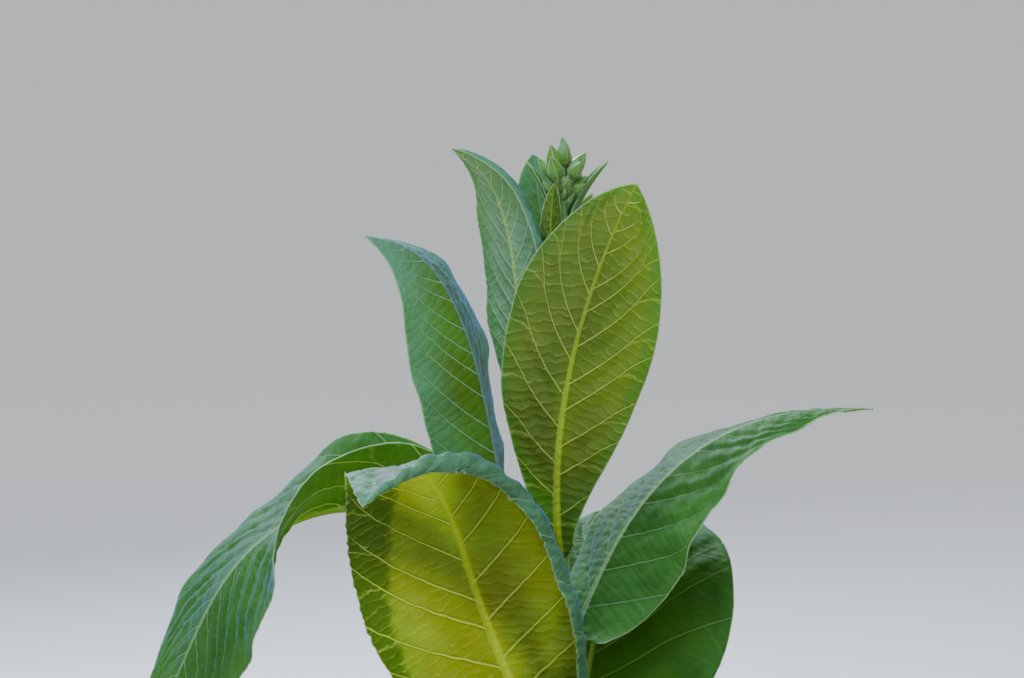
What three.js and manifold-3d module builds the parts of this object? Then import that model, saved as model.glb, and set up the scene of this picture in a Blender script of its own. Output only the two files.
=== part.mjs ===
// A tobacco plant in bud: one stem, broad arching leaves, small upper leaves and a head of flower buds.
// Millimetres, +Z up, origin at the flat cut under the stem, -Y towards the viewer of the photograph.

import * as THREE from 'three';
import { mergeVertices } from 'three/addons/utils/BufferGeometryUtils.js';
import Module from 'manifold-3d';

const wasm = await Module();
wasm.setup();

const GOLDEN_ANGLE = 137.5;
const GAP = 0.3;

const STEM = {
  top: 1190,
  footRadius: 13,
  topRadius: 4,
  flare: 5,
  flareHeight: 16,
  bow: 6,
  bowForward: -0.5,
  bowHeight: 880,
  sides: 20,
  rings: 34,
  ringCrowding: 0.35,
};

const BLADE = {
  rows: 12,
  columns: 3,
  curledColumns: 6,
  steps: 60,
  footShare: 0.3,
  footLength: 0.05,
  claspLength: 0.14,
  clasp: 60,
  tipFloor: 0.04,
  thickness: 0.0105,
  thinnest: 1.2,
  rootDepth: 0.6,
  sectionSteps: 24,
  flatColumns: 2,
};

// Angles in degrees. azimuth: direction of the blade from +X towards +Y. rise and tip: slope of the midrib
// above level at its two ends, the bend between them lying from start to stop of the length. lift: extra
// slope at mid length. lean and veer: sideways turn at the base, and added up to the tip. roll and twist:
// the same about the midrib. fold, cup and curl: slope of the halves beside the rib, growing outwards, and
// past the share called edge. channel: extra fold near the base, which levels out from hold to level of the
// length. Left is the anticlockwise half as seen from above the plant.
const PLAIN = {
  rise: 59, tip: 0, start: 0, stop: 1, lift: 0, lean: 0, veer: 0, roll: 0, twist: 0,
  foldLeft: 10, foldRight: 10, channel: 0, hold: 0, level: 0.45, cup: 0, curlLeft: 0, edge: 0.62,
  grow: 1, close: 0.75, foot: 13,
};

const UPPER_LEAVES = {
  leaf_front_upright: {
    z: 985, azimuth: 265, length: 252, width: 94, rise: 74, tip: 95, lean: -5, veer: 32, roll: -10,
    foldLeft: 3, foldRight: 3, cup: 12, grow: 1.2, close: 0.8,
  },
  leaf_left_upright: {
    z: 1038, azimuth: 208, length: 222, width: 70, rise: 63, tip: 38, start: 0.76, lift: 30, lean: -2,
    veer: -18, roll: 17, curlLeft: -140, grow: 1, close: 0.79,
  },
  leaf_left_back: {
    z: 945, azimuth: 153, length: 287, width: 96, rise: 52, tip: 18, start: 0.76, lift: 34, lean: -3,
    veer: 25, roll: -17, twist: -22, foldLeft: 4, foldRight: -48, cup: -5, grow: 1.08, close: 0.93,
  },
  leaf_right_high: {
    z: 932, azimuth: -2, length: 262, width: 116, rise: 59, tip: -2, lift: 13, lean: 12, veer: -22,
    roll: 36, twist: -47, foldLeft: -14, foldRight: -19, grow: 0.6, close: 1.25,
  },
  leaf_left_arching: {
    z: 903, azimuth: 184, length: 420, width: 135, rise: 66, tip: -74, start: 0.03, stop: 0.81, lean: -13,
    veer: 4, roll: 14, twist: -81, foldLeft: 13, foldRight: -34, channel: 95, hold: 0.28, level: 0.62,
    grow: 1.62, close: 0.99, foot: 6,
  },
  leaf_right_low: {
    z: 831, azimuth: 79, length: 243, width: 173, rise: 75, tip: 7, start: 0.28, stop: 0.88, lean: -12,
    veer: 12, roll: -5, foldLeft: -4, foldRight: -2, channel: 6, grow: 0.8, close: 0.84, foot: 8,
  },
  leaf_front_broad: {
    z: 844, azimuth: 247, length: 311, width: 156, rise: 80, tip: -88, start: 0.47, stop: 1.29, lean: -23,
    veer: 22, roll: 16, foldLeft: 5, foldRight: 5, curlLeft: -150, grow: 0.7, close: 0.93,
  },
  leaf_behind_front: {
    z: 1012, azimuth: 57, length: 175, width: 56, rise: 80, tip: 62, foldLeft: 14, foldRight: 14,
  },
  leaf_behind_buds: {
    z: 1128, azimuth: 116, length: 113, width: 44, rise: 70, tip: 80, veer: 4, foldLeft: 14, foldRight: 14,
  },
  bract_right: {
    z: 1150, azimuth: 8, length: 92, width: 16, rise: 97, tip: 51, veer: 3, foldLeft: 34, foldRight: 34,
  },
  bract_front: {
    z: 1146, azimuth: 264, length: 78, width: 16, rise: 80, tip: 92, lean: -15, veer: 24, foldLeft: 28,
    foldRight: 28,
  },
  bract_back: {
    z: 1166, azimuth: 62, length: 60, width: 12, rise: 60, tip: 40, foldLeft: 25, foldRight: 25,
  },
  bract_left: {
    z: 1175, azimuth: 172, length: 64, width: 12, rise: 87, tip: 59, veer: 1, foldLeft: 25, foldRight: 25,
  },
};

const LOWER_LEAVES = {
  count: 14,
  highest: 768,
  spacing: 52,
  azimuth: 320,
  shortest: 375,
  extraLength: 170,
  longestFrom: 0.12,
  longestTo: 0.92,
  slenderness: 0.48,
  close: 0.8,
  rise: 59,
  riseDrop: 10,
  tip: -44,
  start: 0.1,
  stop: 0.95,
  fold: 6,
  channel: 24,
  level: 0.5,
  cup: -12,
};

// How far a lower leaf may differ from the rule, in millimetres, shares and degrees.
const VARIATION = {
  length: 14,
  azimuth: 6,
  slenderness: 0.02,
  rise: 3,
  tip: 8,
  veer: 9,
  twist: 10,
  fold: 4,
};

const HEAD = {
  foot: STEM.top,
  axisTop: 1226,
  axisShare: 0.62,
  budLength: 18,
  budWidth: 10,
  budSides: 9,
  pedicelRadius: 1.3,
  pedicelDrop: 0.7,
  pedicelFoot: 4,
  pedicelTuck: 2,
};

// The buds, oldest first: side of the axis, distance from it, height of the foot, tilt outwards, size.
const BUDS = [
  [80, 2, 1232, 3, 1],
  [180, 4, 1228.5, 8, 0.97],
  [247, 7.6, 1225, 32, 0.95],
  [305, 8.6, 1227, 52, 0.8],
  [20, 4.5, 1227, 42, 0.95],
  [152, 6, 1226, 43, 0.85],
  [281, 9.2, 1221.5, 68, 0.56],
  [338, 6, 1219, 58, 0.78],
  [318, 9, 1217.5, 62, 0.6],
  [70, 7, 1226, 32, 0.9],
  [112, 9, 1222, 50, 0.8],
  [50, 9, 1219, 56, 0.72],
  [75, 10, 1215.5, 68, 0.6],
  [205, 6, 1217, 48, 0.55],
];

const MATERIALS = {
  stem: { color: '#7d9a4e', roughness: 0.6 },
  lower: { color: '#4d7a35', roughness: 0.55 },
  upper: { color: '#6f8f3c', roughness: 0.55 },
  bud: { color: '#6f9a4a', roughness: 0.6 },
};

const radians = THREE.MathUtils.degToRad;

function ease(value) {
  const t = THREE.MathUtils.clamp(value, 0, 1);
  return t * t * (3 - 2 * t);
}

// A fixed number between -1 and 1 for leaf k and property i, so that no two lower leaves are alike.
function vary(k, i) {
  const value = Math.sin(k * 12.9898 + i * 78.233) * 43758.5453;
  return 2 * (value - Math.floor(value)) - 1;
}

function stemRadius(z) {
  const taper = STEM.footRadius + (STEM.topRadius - STEM.footRadius) * (z / STEM.top);
  return taper + STEM.flare * Math.exp(-z / STEM.flareHeight);
}

function stemCentre(z) {
  const wave = Math.sin((Math.PI * Math.min(z, STEM.bowHeight)) / STEM.bowHeight);
  const bow = STEM.bow * wave * wave;
  return new THREE.Vector3(bow, STEM.bowForward * bow, z);
}

function stemGeometry(grow) {
  const profile = [new THREE.Vector2(0, 0)];
  for (let i = 0; i <= STEM.rings; i += 1) {
    const share = i / STEM.rings;
    const z = STEM.top * (STEM.ringCrowding * share * share + (1 - STEM.ringCrowding) * share);
    profile.push(new THREE.Vector2(stemRadius(z) + grow, z));
  }
  profile.push(new THREE.Vector2(0, STEM.top));
  const geometry = new THREE.LatheGeometry(profile, STEM.sides);
  geometry.rotateX(Math.PI / 2);
  const position = geometry.attributes.position;
  for (let i = 0; i < position.count; i += 1) {
    const centre = stemCentre(position.getZ(i));
    position.setXY(i, position.getX(i) + centre.x, position.getY(i) + centre.y);
  }
  return geometry;
}

// Geometry to solid and back

function toSolid(geometry) {
  const bare = geometry.clone();
  bare.deleteAttribute('normal');
  bare.deleteAttribute('uv');
  const merged = mergeVertices(bare, 1e-4);
  const corners = merged.index.array;
  const kept = [];
  for (let i = 0; i < corners.length; i += 3) {
    const [a, b, c] = [corners[i], corners[i + 1], corners[i + 2]];
    if (a !== b && b !== c && c !== a) kept.push(a, b, c);
  }
  return new wasm.Manifold(new wasm.Mesh({
    numProp: 3,
    vertProperties: new Float32Array(merged.attributes.position.array),
    triVerts: new Uint32Array(kept),
  }));
}

function toGeometry(solid) {
  const mesh = solid.getMesh();
  const geometry = new THREE.BufferGeometry();
  geometry.setAttribute('position', new THREE.BufferAttribute(new Float32Array(mesh.vertProperties), 3));
  geometry.setIndex(new THREE.BufferAttribute(new Uint32Array(mesh.triVerts), 1));
  geometry.computeVertexNormals();
  return geometry;
}

function largest(solid) {
  return solid.decompose().reduce((best, piece) => (piece.volume() > best.volume() ? piece : best));
}

// Leaf blades

function halfWidth(leaf, u) {
  const peak = leaf.grow / (leaf.grow + leaf.close);
  const top = peak ** leaf.grow * (1 - peak) ** leaf.close;
  const body = (u ** leaf.grow * (1 - u) ** leaf.close) / top;
  const half = leaf.width / 2;
  const foot = Math.min(leaf.foot / half, BLADE.footShare) * Math.exp(-u / BLADE.footLength);
  return half * Math.max(Math.min(body + foot, 1), BLADE.tipFloor);
}

// The directions along the rib, across the blade and out of its upper face, at share u of the length.
function bladeFrame(leaf, u) {
  const azimuth = radians(leaf.azimuth);
  const bend = ease((u - leaf.start) / (leaf.stop - leaf.start));
  const slope = radians(leaf.rise + (leaf.tip - leaf.rise) * bend + leaf.lift * Math.sin(Math.PI * u));
  const outward = new THREE.Vector3(Math.cos(azimuth), Math.sin(azimuth), 0);
  const along = outward.clone().multiplyScalar(Math.cos(slope));
  along.z = Math.sin(slope);
  const across = new THREE.Vector3(-Math.sin(azimuth), Math.cos(azimuth), 0);
  across.applyAxisAngle(along, radians(leaf.roll + leaf.twist * u));
  const face = along.clone().cross(across);
  const turn = radians(leaf.lean + leaf.veer * u);
  along.applyAxisAngle(face, turn);
  across.applyAxisAngle(face, turn);
  return { along, across, face };
}

// The points of one half of a cross-section, from the rib to the margin.
function halfSection(leaf, u, rib, frame, side, shares) {
  const width = halfWidth(leaf, u);
  const channel = leaf.channel * (1 - ease((u - leaf.hold) / (leaf.level - leaf.hold)));
  const fold = channel + (side > 0 ? leaf.foldLeft : leaf.foldRight);
  const curl = side > 0 ? leaf.curlLeft : 0;
  const clasp = BLADE.clasp * Math.max(0, 1 - u / BLADE.claspLength) ** 2;
  const points = [];
  let [out, up, done] = [0, 0, 0];
  const fine = BLADE.sectionSteps;
  for (let i = 0; i < fine; i += 1) {
    const t = (i + 0.5) / fine;
    const past = Math.max(0, (t - leaf.edge) / (1 - leaf.edge));
    const slope = radians(fold + (leaf.cup + clasp) * t + curl * past);
    out += Math.cos(slope) / fine;
    up += Math.sin(slope) / fine;
    if (shares[done] <= (i + 1) / fine + 1e-9) {
      const point = rib.clone().addScaledVector(frame.across, side * width * out);
      points.push(point.addScaledVector(frame.face, width * up));
      done += 1;
    }
  }
  return points;
}

function columnShares(leaf) {
  const shares = [];
  if (leaf.curlLeft === 0) {
    for (let i = 1; i <= BLADE.columns; i += 1) shares.push(i / BLADE.columns);
    return shares;
  }
  const flat = BLADE.flatColumns;
  for (let i = 1; i <= flat; i += 1) shares.push((leaf.edge * i) / flat);
  const rest = BLADE.curledColumns - flat;
  for (let i = 1; i <= rest; i += 1) shares.push(leaf.edge + ((1 - leaf.edge) * i) / rest);
  return shares.map((share) => Math.round(share * BLADE.sectionSteps) / BLADE.sectionSteps);
}

function bladeGrid(leaf) {
  const shares = columnShares(leaf);
  const centre = stemCentre(leaf.z);
  const radius = stemRadius(leaf.z);
  const first = bladeFrame(leaf, 0);
  const azimuth = radians(leaf.azimuth);
  const outward = new THREE.Vector3(Math.cos(azimuth), Math.sin(azimuth), 0);
  const rib = centre.clone().addScaledVector(outward, radius);
  const grid = [];
  const addRow = (u, point, frame) => {
    const right = halfSection(leaf, u, point, frame, -1, shares).reverse();
    const left = halfSection(leaf, u, point, frame, 1, shares);
    grid.push([...right, point.clone(), ...left]);
  };
  addRow(0, rib.clone().addScaledVector(outward, -BLADE.rootDepth * radius), first);
  const perRow = Math.round(BLADE.steps / BLADE.rows);
  const steps = perRow * BLADE.rows;
  addRow(0, rib, first);
  for (let i = 0; i < steps; i += 1) {
    const along = bladeFrame(leaf, (i + 0.5) / steps).along;
    rib.addScaledVector(along, leaf.length / steps);
    if ((i + 1) % perRow === 0) {
      const u = (i + 1) / steps;
      addRow(u, rib, bladeFrame(leaf, u));
    }
  }
  return grid;
}

function gridNormal(grid, row, column) {
  const rows = grid.length - 1;
  const columns = grid[0].length - 1;
  const before = grid[Math.max(row - 1, 0)][column];
  const after = grid[Math.min(row + 1, rows)][column];
  const right = grid[row][Math.max(column - 1, 0)];
  const left = grid[row][Math.min(column + 1, columns)];
  const along = after.clone().sub(before);
  return along.cross(left.clone().sub(right)).normalize();
}

function bladeSolid(leaf, stemCutter) {
  const grid = bladeGrid(leaf);
  const rows = grid.length;
  const columns = grid[0].length;
  const half = Math.max(leaf.length * BLADE.thickness, BLADE.thinnest) / 2;
  const positions = [];
  for (const face of [1, -1]) {
    for (let i = 0; i < rows; i += 1) {
      for (let j = 0; j < columns; j += 1) {
        positions.push(...grid[i][j].clone().addScaledVector(gridNormal(grid, i, j), face * half));
      }
    }
  }
  const top = (i, j) => i * columns + j;
  const under = (i, j) => rows * columns + i * columns + j;
  const index = [];
  const quad = (a, b, c, d) => index.push(a, b, c, a, c, d);
  for (let i = 0; i < rows - 1; i += 1) {
    for (let j = 0; j < columns - 1; j += 1) {
      quad(top(i, j), top(i + 1, j), top(i + 1, j + 1), top(i, j + 1));
      quad(under(i, j), under(i, j + 1), under(i + 1, j + 1), under(i + 1, j));
    }
    const last = columns - 1;
    quad(top(i, 0), under(i, 0), under(i + 1, 0), top(i + 1, 0));
    quad(top(i, last), top(i + 1, last), under(i + 1, last), under(i, last));
  }
  for (let j = 0; j < columns - 1; j += 1) {
    const end = rows - 1;
    quad(top(0, j), top(0, j + 1), under(0, j + 1), under(0, j));
    quad(top(end, j), under(end, j), under(end, j + 1), top(end, j + 1));
  }
  const geometry = new THREE.BufferGeometry();
  geometry.setAttribute('position', new THREE.Float32BufferAttribute(positions, 3));
  geometry.setIndex(index);
  return largest(toSolid(geometry).subtract(stemCutter));
}

function lowerLeaf(k) {
  const rule = LOWER_LEAVES;
  const share = k / (rule.count - 1);
  const bulge = Math.sin(Math.PI * (rule.longestFrom + (rule.longestTo - rule.longestFrom) * share));
  const length = rule.shortest + rule.extraLength * bulge + VARIATION.length * vary(k, 1);
  return {
    ...PLAIN,
    z: rule.highest - rule.spacing * k,
    azimuth: rule.azimuth + GOLDEN_ANGLE * k + VARIATION.azimuth * vary(k, 2),
    length,
    width: length * (rule.slenderness + VARIATION.slenderness * vary(k, 3)),
    rise: rule.rise - rule.riseDrop * share + VARIATION.rise * vary(k, 4),
    tip: rule.tip + VARIATION.tip * vary(k, 5),
    start: rule.start,
    stop: rule.stop,
    veer: VARIATION.veer * vary(k, 6),
    twist: VARIATION.twist * vary(k, 7),
    foldLeft: rule.fold + VARIATION.fold * vary(k, 8),
    foldRight: rule.fold + VARIATION.fold * vary(k, 9),
    channel: rule.channel,
    level: rule.level,
    cup: rule.cup,
    close: rule.close,
  };
}

// The head of buds

function budGeometry(length, width) {
  const profile = [[0, 0], [0.3, 0.06], [0.5, 0.3], [0.46, 0.55], [0.3, 0.8], [0, 1]];
  const points = profile.map(([r, z]) => new THREE.Vector2(r * width, z * length));
  const geometry = new THREE.LatheGeometry(points, HEAD.budSides);
  geometry.rotateX(Math.PI / 2);
  return geometry;
}

function placed(geometry, foot, direction) {
  const turn = new THREE.Quaternion().setFromUnitVectors(new THREE.Vector3(0, 0, 1), direction);
  geometry.applyQuaternion(turn);
  geometry.translate(foot.x, foot.y, foot.z);
  return geometry;
}

function rod(from, to, radius) {
  const direction = to.clone().sub(from);
  const length = direction.length();
  const geometry = new THREE.CylinderGeometry(radius, radius, length, 8);
  geometry.rotateX(Math.PI / 2);
  geometry.translate(0, 0, length / 2);
  return placed(geometry, from, direction.normalize());
}

function headSolid() {
  const foot = new THREE.Vector3(0, 0, HEAD.foot + GAP);
  let solid = toSolid(rod(foot, new THREE.Vector3(0, 0, HEAD.axisTop), STEM.topRadius * HEAD.axisShare));
  for (const [azimuth, reach, height, tilt, size] of BUDS) {
    const angle = radians(azimuth);
    const outward = new THREE.Vector3(Math.cos(angle), Math.sin(angle), 0);
    const base = outward.clone().multiplyScalar(reach);
    base.z = height;
    const direction = outward.clone().multiplyScalar(Math.sin(radians(tilt)));
    direction.z = Math.cos(radians(tilt));
    const bud = placed(budGeometry(HEAD.budLength * size, HEAD.budWidth * size), base, direction);
    const root = new THREE.Vector3(0, 0, base.z - HEAD.pedicelDrop * reach - HEAD.pedicelFoot);
    const tuck = base.clone().addScaledVector(direction, HEAD.pedicelTuck);
    solid = solid.add(toSolid(bud)).add(toSolid(rod(root, tuck, HEAD.pedicelRadius)));
  }
  return largest(solid);
}

// The plant

const plant = new THREE.Group();

function addNode(name, geometry, look) {
  const material = new THREE.MeshStandardMaterial({ ...MATERIALS[look], metalness: 0 });
  const mesh = new THREE.Mesh(geometry, material);
  mesh.name = name;
  plant.add(mesh);
}

const stemCutter = toSolid(stemGeometry(GAP));
addNode('stem', toGeometry(toSolid(stemGeometry(0))), 'stem');
addNode('flower_head', toGeometry(headSolid()), 'bud');
for (const [name, values] of Object.entries(UPPER_LEAVES)) {
  addNode(name, toGeometry(bladeSolid({ ...PLAIN, ...values }, stemCutter)), 'upper');
}
for (let k = 0; k < LOWER_LEAVES.count; k += 1) {
  const name = `leaf_lower_${String(k + 1).padStart(2, '0')}`;
  addNode(name, toGeometry(bladeSolid(lowerLeaf(k), stemCutter)), 'lower');
}

export default plant;
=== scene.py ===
# %% [markdown]
# A tobacco plant in bud, as it stands in a field at the end of its growth: one upright stem, broad leaves
# that arch out of it, narrow upper leaves and a tight head of flower buds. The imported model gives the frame:
# each of its solids says where one leaf, the stem or the head of buds is. This lesson gives every leaf a
# thin blade with ribs and veins, dresses the stem and the buds, and sets the camera and the light.

# %% Load the frame
import math
from functools import partial

import bpy
import numpy as np
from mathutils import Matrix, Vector


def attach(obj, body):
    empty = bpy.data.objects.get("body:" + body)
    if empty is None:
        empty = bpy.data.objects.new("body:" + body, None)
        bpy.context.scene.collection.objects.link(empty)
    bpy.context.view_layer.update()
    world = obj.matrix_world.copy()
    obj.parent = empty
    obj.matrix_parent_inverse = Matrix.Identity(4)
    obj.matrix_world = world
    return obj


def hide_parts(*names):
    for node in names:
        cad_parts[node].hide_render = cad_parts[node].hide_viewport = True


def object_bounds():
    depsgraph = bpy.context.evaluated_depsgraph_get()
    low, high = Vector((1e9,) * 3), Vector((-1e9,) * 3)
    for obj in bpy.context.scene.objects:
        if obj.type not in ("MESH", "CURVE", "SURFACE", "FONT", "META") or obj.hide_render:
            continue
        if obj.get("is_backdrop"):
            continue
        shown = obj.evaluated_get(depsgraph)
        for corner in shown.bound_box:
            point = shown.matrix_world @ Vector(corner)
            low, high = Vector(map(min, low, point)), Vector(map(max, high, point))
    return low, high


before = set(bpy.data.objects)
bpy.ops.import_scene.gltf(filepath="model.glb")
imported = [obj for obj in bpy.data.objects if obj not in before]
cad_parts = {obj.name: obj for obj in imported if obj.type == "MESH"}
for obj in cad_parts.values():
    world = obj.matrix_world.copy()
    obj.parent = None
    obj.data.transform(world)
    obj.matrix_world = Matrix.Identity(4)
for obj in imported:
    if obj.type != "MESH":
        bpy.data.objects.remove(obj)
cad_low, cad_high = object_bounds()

MM = 0.001
print("solids:", len(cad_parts), "height:", round(cad_high.z - cad_low.z, 3), "m")

# %% [markdown]
# The stem of such a plant is green and fleshy. It tapers from a slightly flared foot to a thin axis under
# the buds. Everything else is placed from it, so its radius and its centre line are two small functions of
# the height. They repeat the rule of the solid model, in millimetres.

# %% The stem's line
UP = np.array([0.0, 0.0, 1.0])
STEM_TOP = 1190
STEM_RADII = (13, 4)
FLARE = dict(radius=5, height=16)
BOW = dict(side=6, forward=-3, height=880)


def stem_radius(z):
    foot, top = STEM_RADII
    return foot + (top - foot) * z / STEM_TOP + FLARE["radius"] * np.exp(-z / FLARE["height"])


def stem_centre(z):
    wave = np.sin(np.pi * np.minimum(z, BOW["height"]) / BOW["height"]) ** 2
    return np.stack([BOW["side"] * wave, BOW["forward"] * wave, np.asarray(z, float)], axis=-1)


def outward(azimuth):
    turn = math.radians(azimuth)
    return np.array([math.cos(turn), math.sin(turn), 0])


ends = [round(float(stem_radius(z))) for z in (0, STEM_TOP)]
print("stem radius at the foot and the top, mm:", ends)

# %% [markdown]
# A leaf is described by a few angles in degrees and sizes in millimetres. z is the height of its foot, and
# azimuth is the side of the stem that it leaves from. rise and tip are the slope of its midrib at both ends,
# start and stop say where the bend between them lies, and lift arches it. lean and veer turn it sideways,
# roll and twist about its midrib. fold, cup and curl give the slope of its two halves, and channel closes
# them like a trough that opens between hold and level. grow and close say how soon it widens and narrows.
# veins counts its side veins, and sweep and arch bend them. The upper leaves are set one by one.

# %% The upper leaves
PLAIN = dict(
    rise=60, tip=0, start=0, stop=1, lift=0, lean=0, veer=0, roll=0, twist=0, fold=(10, 10),
    cup=0, curl_left=0, grow=1, close=0.75, foot=13, channel=0, hold=0, level=0.45,
    veins=11, ruffle=2, crinkle=0.25, quilt=1, sweep=1, arch=0.35,
    over="upper", under="ripe_lower",
)

UPPER_LEAVES = {
    "leaf_front_upright": dict(
        z=985, azimuth=265, length=252, width=94, rise=74, tip=95, lean=-5, veer=32, roll=-10, fold=(3, 3),
        cup=12, grow=1.2, close=0.8, ruffle=1.2,
    ),
    "leaf_left_upright": dict(
        z=1038, azimuth=208, length=222, width=70, rise=63, tip=38, start=0.76, lift=30, lean=-2, veer=-18,
        roll=17, curl_left=-140, close=0.79, veins=15, ruffle=1.2, over="sky_sheen_upper",
        under="sky_grey_lower",
    ),
    "leaf_left_back": dict(
        z=945, azimuth=153, length=287, width=96, rise=52, tip=18, start=0.76, lift=34, lean=-3, veer=25,
        roll=-17, twist=-22, fold=(4, -48), cup=-5, grow=1.08, close=0.93, veins=15, quilt=0.25,
        over="sky_sheen_upper", under="shaded_green_lower",
    ),
    "leaf_right_high": dict(
        z=932, azimuth=-2, length=262, width=116, rise=59, tip=-2, lift=13, lean=12, veer=-22, roll=36,
        twist=-47, fold=(-14, -19), grow=0.6, close=1.25, ruffle=2.6, quilt=0.6,
        under="shaded_green_lower",
    ),
    "leaf_left_arching": dict(
        z=903, azimuth=184, length=420, width=135, rise=66, tip=-74, start=0.03, stop=0.81, lean=-13, veer=4,
        roll=14, twist=-81, fold=(13, -34), channel=95, hold=0.28, level=0.62, grow=1.62, close=0.99, foot=6,
        veins=18, quilt=0.5, under="shaded_green_lower",
    ),
    "leaf_right_low": dict(
        z=831, azimuth=79, length=243, width=173, rise=75, tip=7, start=0.28, stop=0.88, lean=-12, veer=12,
        roll=-5, fold=(-4, -2), channel=6, grow=0.8, close=0.84, foot=8, veins=12, quilt=0.7,
        under="shaded_green_lower",
    ),
    "leaf_front_broad": dict(
        z=844, azimuth=247, length=311, width=156, rise=80, tip=-88, start=0.47, stop=1.29, lean=-23,
        veer=22, roll=16, fold=(5, 5), curl_left=-150, grow=0.7, close=0.93, veins=12, ruffle=1.5, crinkle=1,
        quilt=0.55, sweep=0.62, arch=0, over="sky_sheen_upper", under="sunlit_lower",
    ),
    "leaf_behind_front": dict(
        z=1012, azimuth=57, length=175, width=56, rise=80, tip=62, fold=(14, 14), ruffle=1,
        over="sky_sheen_upper", under="shaded_green_lower",
    ),
    "leaf_behind_buds": dict(
        z=1128, azimuth=116, length=113, width=44, rise=70, tip=80, veer=4, fold=(14, 14), veins=9,
        ruffle=0.8, over="sky_sheen_upper", under="sky_grey_lower",
    ),
    "bract_right": dict(
        z=1150, azimuth=8, length=92, width=16, rise=97, tip=51, veer=3, fold=(34, 34), veins=9, ruffle=0.5,
        over="sky_sheen_upper", under="sky_grey_lower",
    ),
    "bract_front": dict(
        z=1146, azimuth=264, length=78, width=16, rise=80, tip=92, lean=-15, veer=24, fold=(28, 28), veins=8,
        ruffle=0.3,
    ),
    "bract_back": dict(
        z=1166, azimuth=62, length=60, width=12, rise=60, tip=40, fold=(25, 25), veins=8, ruffle=0.3,
    ),
    "bract_left": dict(
        z=1175, azimuth=172, length=64, width=12, rise=87, tip=59, veer=1, fold=(25, 25), veins=8,
        ruffle=0.3, under="shaded_green_lower",
    ),
}
print("upper leaves and bracts:", len(UPPER_LEAVES))

# %% [markdown]
# Lower down, the leaves follow each other at the golden angle, 137.5 degrees, so that none shades the one
# below. A loop over that rule makes them, the longest in the middle, where a sine over the shares called
# bulge is highest. A fixed number between -1 and 1 for each leaf and property makes each one different.

# %% The lower leaves
LOWER = dict(
    count=14, highest=768, spacing=52, azimuth=320, turn=137.5, shortest=375, extra=170, bulge=(0.12, 0.92),
    slenderness=0.48, rise=59, rise_drop=10, tip=-44, fold=6,
)
LOWER_SHAPE = dict(
    start=0.1, stop=0.95, channel=24, level=0.5, cup=-12, close=0.8, veins=14, ruffle=4,
    under="shaded_green_lower",
)
VARIATION = dict(
    length=14, azimuth=6, slenderness=0.02, rise=3, tip=8, veer=9, twist=10, left=4, right=4,
)
SCRAMBLE = (12.9898, 78.233, 43758.5453)


def vary(k, i):
    value = math.sin(k * SCRAMBLE[0] + i * SCRAMBLE[1]) * SCRAMBLE[2]
    return 2 * (value - math.floor(value)) - 1


def lower_leaf(k):
    change = {key: most * vary(k, i) for i, (key, most) in enumerate(VARIATION.items(), 1)}
    share = k / (LOWER["count"] - 1)
    first, last = LOWER["bulge"]
    bulge = math.sin(math.pi * (first + (last - first) * share))
    length = LOWER["shortest"] + LOWER["extra"] * bulge + change["length"]
    return dict(
        LOWER_SHAPE,
        z=LOWER["highest"] - LOWER["spacing"] * k,
        azimuth=LOWER["azimuth"] + LOWER["turn"] * k + change["azimuth"],
        length=length,
        width=length * (LOWER["slenderness"] + change["slenderness"]),
        rise=LOWER["rise"] - LOWER["rise_drop"] * share + change["rise"],
        tip=LOWER["tip"] + change["tip"],
        veer=change["veer"],
        twist=change["twist"],
        fold=(LOWER["fold"] + change["left"], LOWER["fold"] + change["right"]),
    )


LEAVES = {name: {**PLAIN, **values, "seed": k} for k, (name, values) in enumerate(UPPER_LEAVES.items())}
for k in range(LOWER["count"]):
    LEAVES[f"leaf_lower_{k + 1:02d}"] = {**PLAIN, **lower_leaf(k), "seed": 40 + k}
print("leaves:", len(LEAVES))

# %% [markdown]
# The midrib is a curve that is worked out from its slope at each point: the directions along the rib, across
# the blade and out of its upper face are one function of the share of the length, u. Adding up the first of
# them gives the curve itself.

# %% The midrib
RIB_STEPS = 240


def ease(value):
    t = np.clip(value, 0, 1)
    return t * t * (3 - 2 * t)


def bell(distance, width):
    return np.exp(-((distance / width) ** 2))


def turned(vectors, axes, degrees):
    angle = np.radians(degrees)[..., None]
    return vectors * np.cos(angle) + np.cross(axes, vectors) * np.sin(angle)


def blade_frame(leaf, u):
    bend = ease((u - leaf["start"]) / (leaf["stop"] - leaf["start"]))
    slope = leaf["rise"] + (leaf["tip"] - leaf["rise"]) * bend + leaf["lift"] * np.sin(np.pi * u)
    slope = np.radians(slope)[..., None]
    away = outward(leaf["azimuth"])
    along = np.cos(slope) * away + np.sin(slope) * UP
    across = np.broadcast_to(np.cross(UP, away), along.shape)
    across = turned(across, along, leaf["roll"] + leaf["twist"] * u)
    face = np.cross(along, across)
    turn = leaf["lean"] + leaf["veer"] * u
    return turned(along, face, turn), turned(across, face, turn), face


def rib_points(leaf, u):
    middle = (np.arange(RIB_STEPS) + 0.5) / RIB_STEPS
    steps = blade_frame(leaf, middle)[0] * leaf["length"] / RIB_STEPS
    path = np.vstack([np.zeros(3), np.cumsum(steps, axis=0)])
    foot = stem_centre(leaf["z"]) + stem_radius(leaf["z"]) * outward(leaf["azimuth"])
    knots = np.linspace(0, 1, RIB_STEPS + 1)
    return foot + np.stack([np.interp(u, knots, path[:, axis]) for axis in range(3)], axis=-1)


tip = rib_points(LEAVES["leaf_front_upright"], np.array([1.0]))[0]
print("tip of the front upright leaf, mm:", np.round(tip))

# %% [markdown]
# The blade is widest near its middle, runs to a point, and flares into two small ears that clasp the stem.
# Each half leaves the rib at its fold angle and bends on by its cup. A recurved margin rolls over past a
# certain share of the width. The slope is averaged over a few steps from the rib to each point.

# %% The outline and the cross-section
EAR = dict(length=0.05, share=0.3)
CLASP = dict(angle=60, length=0.14)
TIP_FLOOR = 0.006
CURL_FROM = 0.62
SECTION_STEPS = 16


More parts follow.
